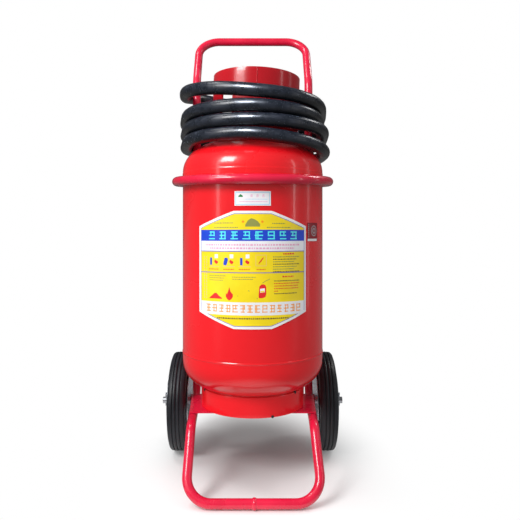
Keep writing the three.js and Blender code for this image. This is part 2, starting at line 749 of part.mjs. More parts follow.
for (const [side, sign] of [["left", -1], ["right", 1]]) {
  const place = (geometry) => onAxle(geometry.translate(0, 0, sign * WHEEL_MID));
  add(`tyre_${side}`, place(turned(tyreProfile(), 28)), RUBBER);
  add(`outer_disc_${side}`, place(turned(discProfile(sign), 20)), ZINC);
  add(`inner_disc_${side}`, place(turned(discProfile(-sign), 20)), ZINC);
  const hubLow = Math.min(sign * HUB_IN, sign * HUB_OUT);
  const hubHigh = Math.max(sign * HUB_IN, sign * HUB_OUT);
  add(`hub_${side}`, onAxle(ring(AXLE_R + 0.4, 13, hubLow, hubHigh, 16)), ZINC);
  const washerIn = sign * (HUB_OUT + GAP);
  const washerOut = sign * (HUB_OUT + 3);
  const washerLow = Math.min(washerIn, washerOut);
  const washerHigh = Math.max(washerIn, washerOut);
  add(`washer_${side}`, onAxle(ring(AXLE_R + 0.4, 14, washerLow, washerHigh, 16)), ZINC);
  const eye = new THREE.TorusGeometry(3.6, 1.2, 5, 12).rotateX(Math.PI / 2).rotateZ(Math.PI / 2);
  const shank = rod(1.5, AXLE_Z - 14, AXLE_Z + 12, 10).translate(sign * 218, AXLE_Y, 0);
  eye.translate(sign * 218, AXLE_Y, AXLE_Z + 14.5);
  add(`split_pin_${side}`, join(shank, eye), ZINC);
}

part.position.y = (FRONT_REACH - REAR_REACH) / 2;

export default part;
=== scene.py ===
"""Wheeled dry-powder fire extinguisher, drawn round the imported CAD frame.

Tables are in millimetres about the vessel's axis; at() turns them into metres in the row frame.
"""
import math
import random

import bmesh
import bpy
from mathutils import Matrix, Vector


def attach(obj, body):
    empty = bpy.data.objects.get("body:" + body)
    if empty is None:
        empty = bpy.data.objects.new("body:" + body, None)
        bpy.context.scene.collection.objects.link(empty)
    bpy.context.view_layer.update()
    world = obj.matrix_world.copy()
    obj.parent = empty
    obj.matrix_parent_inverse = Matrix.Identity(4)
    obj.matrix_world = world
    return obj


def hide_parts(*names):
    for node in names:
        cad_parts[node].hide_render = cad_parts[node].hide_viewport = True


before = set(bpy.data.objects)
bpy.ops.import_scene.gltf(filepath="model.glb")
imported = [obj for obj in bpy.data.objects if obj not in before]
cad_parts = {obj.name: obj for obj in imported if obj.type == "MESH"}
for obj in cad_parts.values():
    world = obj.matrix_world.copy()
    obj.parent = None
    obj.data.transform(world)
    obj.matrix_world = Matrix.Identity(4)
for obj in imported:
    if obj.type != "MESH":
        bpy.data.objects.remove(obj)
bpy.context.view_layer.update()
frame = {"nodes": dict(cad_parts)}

# ---- driving dimensions, in millimetres ----
MM = 0.001
AXIS_Y = -11.4                   # the vessel's axis in the row frame
VESSEL_R = 160
SHELL_LOW = 262
SHELL_HIGH = 675
UPPER_RISE = 84
UPPER_POWER = 2.2
LOWER_DROP = 84
LOWER_POWER = 2.6
MOUTH_R = 33
SKIRT_R = 118
SKIRT_LOW = 149.5
SKIRT_HIGH = 193
GUARD_R = 99
GUARD_LOW = 746
GUARD_HIGH = 895
GUARD_TILT = 2.2
GUARD_SHIFT = 3.8
# from, to (degrees from the front), low, high
GUARD_WINDOWS = [(-48.1, -31.1, 790, 850), (130, 236, 772, 886)]
SHEET = 3
# dark discs at the skirt's drain and vents: painted shade for the dark inside of these holes
HOLE_SHADE_R = 3.2
HOLE_SHADE_PLACES = [(20.9, 151.2), (-65, 191.5), (52, 192.0)]
TUBE_R = 10
RAIL_X = 139
RAIL_Y = 102
BEND_Z = 916
HANDLE_Y = 187
HANDLE_Z = 1044.5
HANDLE_BEND = 52
RAIL_JOINT_Z = 330
LEG_X = 129
LEG_Y = -120
RUN_Z = 135.6
FOOT_Y = -203
FOOT_LEFT = 132
FOOT_RIGHT = 137
FOOT_Z = 11.7
BUTT_X = 3.4
HOOP_R = 174
HOOP_Z = 657
HOOP_SLOPE = 0.055
HOOP_END = 122.4
AXLE_Y = 118
AXLE_Z = 119.5
WHEEL_MID = 179
TYRE_R = 119.5
TYRE_HALF = 21.5
RIM_R = 78
BOLTS = 6
BOLT_RING = 50
BOLT_FIRST = 15                  # degrees
HOSE_R = 14
COIL_FRONT_Y = 154
COIL_SIDE_X = 167
COIL_SIDE_Y = 95
COIL_CORNER_R = 112
OUTLET_Z = 797
FERRULE_Y = 106
GUN_X = 125
GUN_Y = 221
GUN_INLET_Z = 690
GAUGE_X = 60
DIAL_TOP = 816
LABEL_R = VESSEL_R + 0.5
LABEL_LOW = 344
LABEL_HIGH = 584
LABEL_CUT = 30.5
LABEL_TOP = 39
LABEL_HALF = 123
BLUE_LOW = 522.9
BLUE_HIGH = 545.7
PRINT_LOW = 502.4
RULE_LOW = 500.9
MIDDLE_RULE_LOW = 457.6
MIDDLE_RULE_HIGH = 459.2
FOOT_BAND_LOW = 372
FOOT_BAND_HIGH = 398.4
APPROVAL_LOW = 594.5
APPROVAL_HIGH = 624
STICKER_LOW = 522
STICKER_HIGH = 561
STICKER_MIDDLE = 148.5           # along the vessel's face, from the front


def at(x, y, z):
    return Vector((x * MM, (y + AXIS_Y) * MM, z * MM))


def around(radius, degrees, x=0.0, y=0.0):
    """A point at an angle measured from the front, positive towards +X."""
    a = math.radians(degrees)
    return x + radius * math.sin(a), y - radius * math.cos(a)


# ---- camera ----
CAMERA_BACK = 1293
CAMERA_Z = 535
LENS_MM = 38.77
camera_data = bpy.data.cameras.new("camera")
camera_data.lens = LENS_MM
camera_data.sensor_width = 36
camera_data.shift_x = 0.0141
camera_data.shift_y = -0.0481
camera = bpy.data.objects.new("camera", camera_data)
camera.location = at(0, -CAMERA_BACK, CAMERA_Z)
camera.rotation_euler = (math.radians(90), 0, 0)
bpy.context.scene.collection.objects.link(camera)
bpy.context.scene.camera = camera

# ---- materials ----
COAT_ROUGH = 0.05


def surface(name, colour, second, rough, drift=8.0, grain=400.0, bump=0.1, depth=0.0003,
            metallic=0.0, coat=0.0):
    """A colour that drifts between two tones, with its own roughness range and fine bump."""
    material = bpy.data.materials.new(name)
    material.use_nodes = True
    nodes = material.node_tree.nodes
    link = material.node_tree.links.new
    shader = nodes["Principled BSDF"]
    shader.inputs["Metallic"].default_value = metallic
    shader.inputs["Coat Weight"].default_value = coat
    shader.inputs["Coat Roughness"].default_value = COAT_ROUGH
    place = nodes.new("ShaderNodeTexCoord")
    slow = nodes.new("ShaderNodeTexNoise")
    slow.inputs["Scale"].default_value = drift
    slow.inputs["Detail"].default_value = 6.0
    link(place.outputs["Object"], slow.inputs["Vector"])
    ramp = nodes.new("ShaderNodeValToRGB")
    ramp.color_ramp.elements[0].position = 0.35
    ramp.color_ramp.elements[0].color = (*second, 1.0)
    ramp.color_ramp.elements[1].position = 0.65
    ramp.color_ramp.elements[1].color = (*colour, 1.0)
    link(slow.outputs["Fac"], ramp.inputs["Fac"])
    link(ramp.outputs["Color"], shader.inputs["Base Color"])
    spread = nodes.new("ShaderNodeMapRange")
    spread.inputs["From Min"].default_value = 0.3
    spread.inputs["From Max"].default_value = 0.7
    spread.inputs["To Min"].default_value = rough[0]
    spread.inputs["To Max"].default_value = rough[1]
    link(slow.outputs["Fac"], spread.inputs["Value"])
    link(spread.outputs["Result"], shader.inputs["Roughness"])
    fine = nodes.new("ShaderNodeTexNoise")
    fine.inputs["Scale"].default_value = grain
    fine.inputs["Detail"].default_value = 3.0
    link(place.outputs["Object"], fine.inputs["Vector"])
    relief = nodes.new("ShaderNodeBump")
    relief.inputs["Strength"].default_value = bump
    relief.inputs["Distance"].default_value = depth
    link(fine.outputs["Fac"], relief.inputs["Height"])
    link(relief.outputs["Normal"], shader.inputs["Normal"])
    return material


PAINT = surface("vessel_red", (0.87, 0.008, 0.015), (0.80, 0.007, 0.013), (0.22, 0.30),
                drift=5.0, grain=160.0, bump=0.05, depth=0.0004, coat=0.55)
FRAME_PAINT = surface("frame_crimson", (0.74, 0.008, 0.050), (0.62, 0.006, 0.038), (0.22, 0.34),
                      drift=18.0, grain=240.0, bump=0.10, depth=0.0004, coat=0.5)
# The guard wears a darker copy of the vessel's red; the darkening is painted shade.
GUARD_SHADED_PAINT = surface("guard_red_painted_shade", (0.48, 0.006, 0.014), (0.42, 0.005, 0.011), (0.18, 0.26),
                      drift=9.0, grain=160.0, bump=0.05, depth=0.0004, coat=0.3)
RUBBER = surface("hose_rubber", (0.006, 0.007, 0.010), (0.003, 0.004, 0.006), (0.24, 0.34),
                 drift=60.0, grain=900.0, bump=0.35, depth=0.0004)
TYRE = surface("tyre_rubber", (0.016, 0.018, 0.024), (0.009, 0.010, 0.013), (0.36, 0.52),
               drift=30.0, grain=700.0, bump=0.30, depth=0.0004)
ZINC = surface("zinc_plate", (0.74, 0.76, 0.80), (0.69, 0.71, 0.76), (0.24, 0.32),
               drift=45.0, grain=500.0, bump=0.08, depth=0.0002, metallic=1.0)
STEEL = surface("plated_steel", (0.66, 0.67, 0.69), (0.52, 0.53, 0.56), (0.24, 0.40),
                drift=70.0, grain=600.0, bump=0.10, depth=0.0002, metallic=1.0)
BRASS = surface("brass", (0.80, 0.56, 0.24), (0.66, 0.44, 0.18), (0.24, 0.40),
                drift=60.0, grain=500.0, bump=0.12, depth=0.0003, metallic=1.0)
BLACK_PLASTIC = surface("black_plastic", (0.020, 0.020, 0.022), (0.014, 0.014, 0.016),
                        (0.34, 0.46), drift=50.0, grain=900.0, bump=0.25, depth=0.0003)
WHITE_FILM = surface("white_film", (0.90, 0.90, 0.92), (0.86, 0.86, 0.89), (0.26, 0.36),
                     grain=120.0, bump=0.03, coat=0.2)
LENS = surface("lens", (0.92, 0.95, 0.97), (0.90, 0.94, 0.96), (0.03, 0.06), bump=0.01)
LENS.node_tree.nodes["Principled BSDF"].inputs["Transmission Weight"].default_value = 1.0


def ink(name, colour):
    second = tuple(0.9 * c for c in colour)
    return surface("ink_" + name, colour, second, (0.30, 0.42), drift=25.0, grain=260.0, bump=0.04)


INKS = {
    "blue": ink("blue", (0.010, 0.060, 0.62)),
    "line": ink("line", (0.10, 0.10, 0.55)),
    "cyan": ink("cyan", (0.10, 0.85, 0.90)),
    "yellow": ink("yellow", (0.96, 0.74, 0.010)),
    "white": ink("white", (0.90, 0.90, 0.93)),
    "pink": ink("pink", (0.85, 0.42, 0.62)),
    "pale": ink("pale", (0.90, 0.55, 0.30)),
    "red": ink("red", (0.82, 0.020, 0.020)),
    "orange": ink("orange", (0.98, 0.33, 0.010)),
    "dark": ink("dark", (0.10, 0.07, 0.045)),
    "olive": ink("olive", (0.30, 0.32, 0.08)),
    "sky": ink("sky", (0.38, 0.68, 0.88)),
    "green": ink("green", (0.02, 0.26, 0.07)),
    "maroon": ink("maroon", (0.30, 0.012, 0.022)),
    "grey": ink("grey", (0.42, 0.40, 0.42)),
}


# ---- mesh helpers ----
def build(name, points, faces, material, body, stands_for=(), angle=35):
    mesh = bpy.data.meshes.new(name)
    mesh.from_pydata([tuple(p) for p in points], [], faces)
    work = bmesh.new()
    work.from_mesh(mesh)
    bmesh.ops.recalc_face_normals(work, faces=work.faces)
    work.to_mesh(mesh)
    work.free()
    mesh.shade_smooth()
    mesh.set_sharp_from_angle(angle=math.radians(angle))
    mesh.materials.append(material)
    piece = bpy.data.objects.new(name, mesh)
    bpy.context.scene.collection.objects.link(piece)
    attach(piece, body)
    if stands_for:
        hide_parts(*stands_for)
    return piece


def turned(name, profile, steps, material, body, stands_for=(), centre=(0, 0, 0),
           axis="Z", angle=35):
    """A closed profile of [radius, height] pairs turned about an axis."""
    points = []
    for k in range(steps):
        a = 2 * math.pi * k / steps
        for r, h in profile:
            u = r * math.cos(a)
            v = r * math.sin(a)
            spot = {"Z": (u, v, h), "X": (h, u, v), "Y": (v, h, u)}[axis]
            points.append(at(*(c + s for c, s in zip(centre, spot))))
    count = len(profile)
    faces = []
    for k in range(steps):
        for i in range(count):
            j = (i + 1) % count
            a, b = k * count, ((k + 1) % steps) * count
            faces.append((a + i, a + j, b + j, b + i))
    piece = build(name, points, faces, material, body, stands_for, angle)
    work = bmesh.new()
    work.from_mesh(piece.data)
    bmesh.ops.remove_doubles(work, verts=work.verts, dist=1e-6)
    bmesh.ops.dissolve_degenerate(work, edges=work.edges, dist=1e-7)
    bmesh.ops.recalc_face_normals(work, faces=work.faces)
    work.to_mesh(piece.data)
    work.free()
    return piece


def bent(corners):
    """A path through corners (x, y, z, bend radius) with each corner rounded."""
    path = []
    for i, (x, y, z, radius) in enumerate(corners):
        here = Vector((x, y, z))
        if not radius:
            path.append(here)
            continue
        before = (Vector(corners[i - 1][:3]) - here).normalized()
        after = (Vector(corners[i + 1][:3]) - here).normalized()
        half = before.angle(after) / 2
        centre = here + (before + after).normalized() * radius / math.sin(half)
        start = here + before * radius / math.tan(half) - centre
        turn = math.pi - 2 * half
        normal = -before.cross(after).normalized()
        steps = max(4, math.ceil(turn / 0.09))
        for k in range(steps + 1):
            path.append(centre + Matrix.Rotation(turn * k / steps, 3, normal) @ start)
    return path


def pipe(name, path, radius, material, body, stands_for=(), sides=24, ripple=0.0):
    """A round bar along a path; ripple swells it in even steps, as a weld bead does."""
    points = []
    faces = []
    normal = Vector((0.31, 0.17, 0.93))
    for i, spot in enumerate(path):
        ahead = path[min(i + 1, len(path) - 1)] - spot
        behind = spot - path[max(i - 1, 0)]
        along = (ahead.normalized() + behind.normalized()).normalized()
        normal = (normal - along * normal.dot(along)).normalized()
        across = along.cross(normal)
        size = radius * (1 + ripple * math.sin(2.2 * i))
        for k in range(sides):
            a = 2 * math.pi * k / sides
            edge = spot + normal * size * math.cos(a) + across * size * math.sin(a)
            points.append(at(*edge))
    for i in range(len(path) - 1):
        for k in range(sides):
            a = i * sides + k
            b = i * sides + (k + 1) % sides
            faces.append((a, b, b + sides, a + sides))
    faces.append(tuple(range(sides))[::-1])
    last = (len(path) - 1) * sides
    faces.append(tuple(range(last, last + sides)))
    return build(name, points, faces, material, body, stands_for, 50)


def dome(radius, rise, power, stop, steps):
    """From the rim to the radius stop, as (radius, rise above the rim)."""
    profile = []
    for i in range(steps + 1):
        t = math.pi / 2 * (1 - i / steps)
        r = radius * math.sin(t) ** (2 / power)
        if r > stop + 1:
            profile.append((r, rise * (1 - (r / radius) ** power) ** (1 / power)))
    profile.append((stop, rise * (1 - (stop / radius) ** power) ** (1 / power)))
    return profile


def sheet_band(name, radius, low, high, windows, material, stands_for):
    """A rolled sheet with windows, each given as from, to, low, high."""
    columns = [3 * i for i in range(120)]
    for start, end, _, _ in windows:
        columns += [start % 360, end % 360]
    columns = sorted(set(round(c, 2) for c in columns))
    levels = sorted({low, low + 8, high - 8, high, *(z for w in windows for z in w[2:])})
    points = []
    for z in levels:
        for c in columns:
            points.append(at(*around(radius, c), z))
    wide = len(columns)
    faces = []
    for row in range(len(levels) - 1):
        middle_z = (levels[row] + levels[row + 1]) / 2
        for i in range(wide):
            j = (i + 1) % wide
            middle = (columns[i] + (columns[j] if j else 360)) / 2
            hidden = any(
                (middle - start) % 360 < (end - start) and z0 < middle_z < z1
                for start, end, z0, z1 in windows
            )
            if not hidden:
                a, b = row * wide + i, row * wide + j
                faces.append((a, b, b + wide, a + wide))
    piece = build(name, points, faces, material, "trolley", stands_for, 60)
    thicken = piece.modifiers.new("thickness", "SOLIDIFY")
    thicken.thickness = SHEET * MM
    thicken.offset = -1.0
    soften = piece.modifiers.new("edges", "BEVEL")
    soften.width = 0.7 * MM
    soften.segments = 3
    soften.limit_method = "ANGLE"
    soften.angle_limit = math.radians(40)
    return piece


# ---- hose: up from the gun, round four turns, and into the valve from behind ----
HOSE_LEAD_R = 112
HOSE_LAST = 0.78
HOSE_REACH = 310
SMOOTHING = 6
TURN_STEPS = 76
# Each turn runs through these shares of its length: from the middle of the back, by the left,
# the front and the right, to the back again.
HOSE_STATIONS = [0, 0.12, 0.27, 0.5, 0.7, 0.8, 1]
HOSE_TURNS = [
    # heights at the stations, then how far the front stands out to the left and the right
    ([880, 892, 862, 830.5, 820.5, 816.5, 812], 154, 156),
    ([812, 808, 801.5, 801, 793, 788.3, 783.8], 151, 150.5),
    ([783.8, 779.5, 773.3, 772, 766.5, 760, 755.6], 149.5, 162.6),
    ([755.6, 751, 745, 743.5, 722, 727, 727], 149.5, 165),
]
CORNER_X = COIL_SIDE_X - COIL_CORNER_R
CORNER_ARC = math.pi / 2 * COIL_CORNER_R
FRONT_ARC = math.pi * COIL_FRONT_Y
TURN_LENGTH = 2 * (CORNER_X + CORNER_ARC + COIL_SIDE_Y) + FRONT_ARC
BACK_Y = COIL_SIDE_Y + COIL_CORNER_R


def turn_plan(s, left, right):
    """The point at a distance s along one turn, from the middle of the back to the left."""
    def front(u):
        a = math.pi * (u - 0.5)
        half = left if a < 0 else right
        return half * math.sin(a), -COIL_FRONT_Y * math.cos(a)

    spans = [
        (CORNER_X, lambda u: (-u * CORNER_X, BACK_Y)),
        (CORNER_ARC, lambda u: around(COIL_CORNER_R, 180 + 90 * u, -CORNER_X, COIL_SIDE_Y)),
        (COIL_SIDE_Y, lambda u: (u * (COIL_SIDE_X - left) - COIL_SIDE_X, COIL_SIDE_Y * (1 - u))),
        (FRONT_ARC, front),
        (COIL_SIDE_Y, lambda u: (right + u * (COIL_SIDE_X - right), COIL_SIDE_Y * u)),
        (CORNER_ARC, lambda u: around(COIL_CORNER_R, 90 + 90 * u, CORNER_X, COIL_SIDE_Y)),
        (CORNER_X, lambda u: (CORNER_X * (1 - u), BACK_Y)),
    ]
    for length, place in spans:
        if s <= length:
            return place(s / length)
        s -= length
    return 0.0, BACK_Y


def ease(u):
    return u * u * (3 - 2 * u)


def turn_height(u, heights):
    pairs = list(zip(HOSE_STATIONS, heights))
    for (u0, z0), (u1, z1) in zip(pairs, pairs[1:]):
        if u <= u1:
            return z0 + (z1 - z0) * (u - u0) / (u1 - u0)
    return heights[-1]


LEAD_TOP = HOSE_TURNS[0][0][0] - HOSE_LEAD_R
path = [Vector((GUN_X, GUN_Y, GUN_INLET_Z + (LEAD_TOP - GUN_INLET_Z) * i / 6)) for i in range(7)]
for i in range(1, 13):
    a = math.pi / 2 * i / 12
    x = GUN_X - HOSE_LEAD_R * (1 - math.cos(a))
    path.append(Vector((x, GUN_Y, LEAD_TOP + HOSE_LEAD_R * math.sin(a))))
for turn, (heights, left, right) in enumerate(HOSE_TURNS):
    for i in range(TURN_STEPS):
        u = i / TURN_STEPS
        first = turn == 0 and u < 0.02
        last = turn == len(HOSE_TURNS) - 1 and u > HOSE_LAST
        if first or last:
            continue
        x, y = turn_plan(u * TURN_LENGTH, left, right)
        if turn == 0:
            y += (GUN_Y - BACK_Y) * (1 - ease(min(1.0, u / 0.14)))
        path.append(Vector((x, y, turn_height(u, heights))))
# The last stretch leaves the coil at the right and turns back into the valve's outlet.
leave = Vector((COIL_SIDE_X, COIL_SIDE_Y + 5, HOSE_TURNS[-1][0][-1]))
enter = Vector((0, FERRULE_Y + 10, OUTLET_Z))
path.append(leave)
for i in range(1, 29):
    u = i / 28
    spot = leave * (2 * u**3 - 3 * u**2 + 1) + enter * (3 * u**2 - 2 * u**3)
    spot.y += HOSE_REACH * ((u**3 - 2 * u**2 + u) - (u**3 - u**2))
    spot.z = leave.z + (enter.z - leave.z) * ease(max(0.0, 2 * u - 1))
    path.append(spot)
outlet = Vector((0, FERRULE_Y, OUTLET_Z))
path.append(outlet)
for _ in range(SMOOTHING):
    path = [path[0], *(
        (a + 2 * b + c) / 4 for a, b, c in zip(path, path[1:], path[2:])
    ), path[-1]]

hose_curve = bpy.data.curves.new("hose", "CURVE")
hose_curve.dimensions = "3D"
hose_curve.bevel_depth = HOSE_R * MM
hose_curve.bevel_resolution = 7
hose_curve.use_fill_caps = True
spline = hose_curve.splines.new("POLY")
spline.points.add(len(path) - 1)
for point, spot in zip(spline.points, path):
    point.co = (*at(*spot), 1.0)
spline.use_smooth = True
hose_curve.materials.append(RUBBER)
hose = bpy.data.objects.new("hose", hose_curve)
bpy.context.scene.collection.objects.link(hose)
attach(hose, "trolley")
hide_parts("hose")
nodes = frame["nodes"]

# ---- vessel ----
upper = [(r, SHELL_HIGH + h) for r, h in dome(VESSEL_R, UPPER_RISE, UPPER_POWER, MOUTH_R, 40)]
lower = [(r, SHELL_LOW - h) for r, h in dome(VESSEL_R, LOWER_DROP, LOWER_POWER, 0.01, 40)]
seam = [(VESSEL_R, SHELL_LOW + 8), (VESSEL_R + 0.9, SHELL_LOW + 9.5),
        (VESSEL_R + 0.9, SHELL_LOW + 11), (VESSEL_R, SHELL_LOW + 12.5)]
upper_seam = [(VESSEL_R, SHELL_HIGH - 6), (VESSEL_R + 0.6, SHELL_HIGH - 4),
              (VESSEL_R + 0.6, SHELL_HIGH - 1.5), (VESSEL_R, SHELL_HIGH - 0.3)]
INSIDE = VESSEL_R - 4
outline = [*lower[::-1], *seam, *upper_seam, *upper, (MOUTH_R, SHELL_HIGH + 74),
           (110, SHELL_HIGH + 55), (INSIDE, SHELL_HIGH - 2), (INSIDE, SHELL_LOW + 2),
           (110, SHELL_LOW - 60), (0.01, SHELL_LOW - LOWER_DROP + 5)]
turned("vessel_skin", outline, 160, PAINT, "trolley",
       ("vessel_shell", "upper_head", "lower_head"), angle=30)

sheet_band("skirt_skin", SKIRT_R, SKIRT_LOW, SKIRT_HIGH, [], PAINT, ("skirt_ring",))
# Dark discs sit at the drain hole and the two vents as painted shade, standing for the dark inside
# of the holes.
for i, (angle, z) in enumerate(HOLE_SHADE_PLACES):
    inner = Vector((*around(SKIRT_R - SHEET - 0.4, angle), z))
    outer = Vector((*around(SKIRT_R + 0.4, angle), z))
    pipe(f"skirt_hole_shade_{i}", [inner, outer], HOLE_SHADE_R, BLACK_PLASTIC, "trolley",
         sides=16)

LEAN = Matrix.Rotation(math.radians(GUARD_TILT), 4, "Y")
GUARD_FOOT = at(GUARD_SHIFT, 0, GUARD_LOW)


def lean(piece):
    """Sets a piece made upright on the axis into the guard's tilt and offset."""
    foot = at(0, 0, GUARD_LOW)
    piece.data.transform(Matrix.Translation(GUARD_FOOT) @ LEAN @ Matrix.Translation(-foot))
    return piece


# the guard's sheet takes the darker red, which paints shade on it
lean(sheet_band("guard_skin", GUARD_R, GUARD_LOW - 10, GUARD_HIGH, GUARD_WINDOWS, GUARD_SHADED_PAINT,
                ("valve_guard",)))


def ring_path(radius, z, steps=180, start=0.0, end=360.0):
    return [Vector((*around(radius, start + (end - start) * i / steps), z))
            for i in range(steps + 1)]


foot_weld = []
for i in range(181):
    x, y = around(GUARD_R + 0.8, 2 * i)
    x += GUARD_SHIFT
    rise = UPPER_RISE * (1 - (math.hypot(x, y) / VESSEL_R) ** UPPER_POWER) ** (1 / UPPER_POWER)
    foot_weld.append(Vector((x, y, SHELL_HIGH + rise + 0.4)))
pipe("guard_weld", foot_weld, 2.0, PAINT, "trolley", sides=8, ripple=0.18)
seam_x, seam_y = around(GUARD_R - 0.1, 0.3)
guard_seam = [Vector((seam_x, seam_y, GUARD_LOW + 3 + 3 * i)) for i in range(49)]
lean(pipe("guard_seam", guard_seam, 0.9, GUARD_SHADED_PAINT, "trolley", sides=8,
          ripple=0.12))
for i, (a, b) in enumerate([(-61, 48), (56, 135), (139, 225), (229, 291)]):
    pipe(f"skirt_weld_{i}", ring_path(SKIRT_R - 4.6, SKIRT_HIGH + 0.4, 60, a, b), 1.4, PAINT,
         "trolley", sides=8, ripple=0.15)

# ---- tube frame ----
handle_path = bent([
    (-RAIL_X, RAIL_Y, RAIL_JOINT_Z, 0),
    (-RAIL_X, RAIL_Y, BEND_Z, 70),
    (-RAIL_X, HANDLE_Y, HANDLE_Z, HANDLE_BEND),
    (RAIL_X, HANDLE_Y, HANDLE_Z, HANDLE_BEND),
    (RAIL_X, RAIL_Y, BEND_Z, 70),
    (RAIL_X, RAIL_Y, RAIL_JOINT_Z, 0),
])
pipe("handle_skin", handle_path, TUBE_R, FRAME_PAINT, "trolley", ("handle_tube",))
leg_path = bent([
    (-RAIL_X, RAIL_Y, RAIL_JOINT_Z, 0),
    (-RAIL_X, RAIL_Y, RUN_Z, 45),
    (-LEG_X, LEG_Y, RUN_Z, 32),
    (-FOOT_LEFT, FOOT_Y, FOOT_Z, 50),
    (FOOT_RIGHT, FOOT_Y, FOOT_Z, 50),
    (LEG_X, LEG_Y, RUN_Z, 32),
    (RAIL_X, RAIL_Y, RUN_Z, 45),
    (RAIL_X, RAIL_Y, RAIL_JOINT_Z, 0),
])
pipe("leg_skin", leg_path, TUBE_R, FRAME_PAINT, "trolley", ("leg_tube",))
bead = [(TUBE_R - 0.4, -4.6), (TUBE_R + 0.7, -3.6), (TUBE_R + 1.5, -1.8), (TUBE_R + 1.7, 0),
        (TUBE_R + 1.5, 1.8), (TUBE_R + 0.7, 3.6), (TUBE_R - 0.4, 4.6)]
turned("butt_weld", bead, 40, FRAME_PAINT, "trolley", ("butt_bead",),
       centre=(BUTT_X, FOOT_Y, FOOT_Z), axis="X", angle=60)
hoop = []
for i in range(121):
    x, y = around(HOOP_R, HOOP_END * (2 * i / 120 - 1))
    hoop.append(Vector((x, y, HOOP_Z + y * HOOP_SLOPE)))
pipe("hoop_skin", hoop, TUBE_R + 0.2, FRAME_PAINT, "trolley", ("shoulder_hoop",))
for side, sign in (("left", -1), ("right", 1)):
    end = hoop[0] if sign < 0 else hoop[-1]
    near = hoop[2] if sign < 0 else hoop[-3]
    along = (end - near).normalized()
    across = along.cross(Vector((0, 0, 1))).normalized()
    weld = []
    for k in range(41):
        a = 2 * math.pi * k / 40
        weld.append(end + across * 10.4 * math.cos(a) + along.cross(across) * 10.4 * math.sin(a))
    pipe(f"hoop_weld_{side}", weld, 1.7, FRAME_PAINT, "trolley", sides=8,
         ripple=0.2)
    for part, y0, y1 in (("front", -70, -20), ("back", 10, 56)):
        seam_line = []
        for k in range(25):
            y = y0 + (y1 - y0) * k / 24
            x = sign * (LEG_X + (RAIL_X - LEG_X) * (y - LEG_Y) / (RAIL_Y - LEG_Y) + 3.5)
            seam_line.append(Vector((x, y, RUN_Z + 9.9)))
        pipe(f"plate_weld_{side}_{part}", seam_line, 1.6, FRAME_PAINT, "trolley",
             sides=8, ripple=0.2)

# ---- wheels ----
tyre = [(RIM_R + 1, -TYRE_HALF + 3), (RIM_R + 6, -TYRE_HALF + 0.8), (RIM_R + 12, -TYRE_HALF),
        (RIM_R + 20, -TYRE_HALF + 0.6), (TYRE_R - 16, -TYRE_HALF), (TYRE_R - 9, -TYRE_HALF + 0.5),
        (TYRE_R - 4, -TYRE_HALF + 2.2), (TYRE_R - 1.4, -TYRE_HALF + 5)]
tread = []
for x in (-8.6, 0, 8.6):
    tread += [(TYRE_R - 0.35, x - 1.6), (TYRE_R - 0.9, x - 1.1), (TYRE_R - 3.2, x - 0.7),
              (TYRE_R - 3.2, x + 0.7), (TYRE_R - 0.9, x + 1.1), (TYRE_R - 0.35, x + 1.6)]
    if x < 8:
        tread.append((TYRE_R, x + 4.3))
tyre_outline = [*tyre, *tread, *((r, -x) for r, x in reversed(tyre))]
DISC = [(13.4, 8), (24, 8), (33, 7.6), (37, 5.4), (41, 3.2), (46, 2.7), (54, 2.7), (58, 3.4),
        (64, 7.4), (70, 12.2), (76, 17.2), (80, 19.6), (85, 21.6), (88.5, 23.2)]


def disc_outline(sign):
    outer = [(r, sign * (x + 2)) for r, x in DISC]
    inner = [(r, sign * x) for r, x in DISC]
    return [*outer, *inner[::-1]]


for side, sign in (("left", -1), ("right", 1)):
    body = "wheel_" + side
    centre = (sign * WHEEL_MID, AXLE_Y, AXLE_Z)
    turned("tyre_skin_" + side, tyre_outline, 128, TYRE, body, ("tyre_" + side,),
           centre=centre, axis="X", angle=50)
    for face, way in (("outer", sign), ("inner", -sign)):
        node = f"{face}_disc_{side}"
        turned(f"{face}_disc_skin_{side}", disc_outline(way), 96, ZINC, body,
               (node,), centre=centre, axis="X", angle=50)
        for k in range(BOLTS):
            a = math.radians(360 / BOLTS * k + BOLT_FIRST)
            seat = (centre[0] + way * 4.7, AXLE_Y + BOLT_RING * math.cos(a),
                    AXLE_Z + BOLT_RING * math.sin(a))
            head = [(0.01, 0), (6, 0), (6, way * 3.4), (5.2, way * 4.2), (0.01, way * 4.2)]
            turned(f"{face}_bolt_{side}_{k}", head, 6, ZINC, body, centre=seat,
                   axis="X", angle=20)

# ---- labels: print laid on the vessel in thin layers ----
MARKS = {}


def add_strip(colour, layer, spans):
    """A strip from columns of (arc, low, high) on the vessel's face."""
    MARKS.setdefault((colour, layer), []).append(spans)


def bar(colour, layer, x0, x1, z0, z1, middle=0.0):
    count = max(1, math.ceil(abs(x1 - x0) / 4))
    columns = [x0 + (x1 - x0) * i / count for i in range(count + 1)]
    add_strip(colour, layer, [(middle + x, z0, z1) for x in columns])


def blob(colour, layer, x, z, outline):
    """A filled shape from (offset, low, high) columns about a point."""
    add_strip(colour, layer, [(x + dx, z + lo, z + hi) for dx, lo, hi in outline])


def octagon(colour, layer, inset):
    slope = LABEL_CUT / (LABEL_HALF - LABEL_TOP)
    columns = []
    half = LABEL_HALF - inset
    slant = inset * math.hypot(1, slope)
    for i in range(83):
        x = half * (i / 41 - 1)
        drop = max(inset, (abs(x) - LABEL_TOP) * slope + slant)
        columns.append((x, LABEL_LOW + drop, LABEL_HIGH - drop))
    add_strip(colour, layer, columns)


def text_line(colour, layer, x0, x1, z, size, seed):
    """A row of plain dashes that stands for a line of small print."""
    dice = random.Random(seed)
    x = x0
    while x < x1:
        run = dice.uniform(0.7, 1.7) * size
        bar(colour, layer, x, min(x + run, x1), z - size / 2, z + size / 2)
        x += run + 0.55 * size


